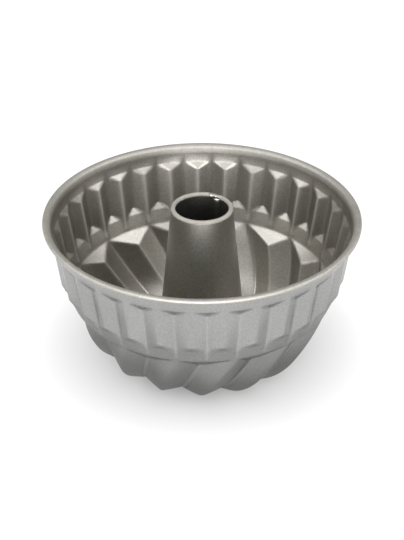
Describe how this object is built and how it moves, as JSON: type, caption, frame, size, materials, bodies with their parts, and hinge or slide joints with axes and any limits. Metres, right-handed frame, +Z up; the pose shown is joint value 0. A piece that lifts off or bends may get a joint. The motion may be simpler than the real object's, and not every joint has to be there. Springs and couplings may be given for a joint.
{
  "type": "fluted tube pan",
  "caption": "Round metal tube pan with upright flutes on its wall, swirling flutes on its bowl, a rolled rim and a tapered seamed tube crimped into the floor.",
  "frame": {"origin": "on the tube's axis, at the level that the bowl's keels stand on", "axes": "+Z up along the tube, +Y towards the back of the pictured view, +X to its right"},
  "size_m": [0.22, 0.22, 0.1189],
  "materials": {
    "shell_coating": "satin metallic grey non-stick coating with a fine speckle",
    "tube_coating": "satin metallic grey non-stick coating with a fine speckle"
  },
  "bodies": {
    "root": {"fluted_shell": "shell_coating", "centre_tube": "tube_coating"}
  },
  "joints": []
}
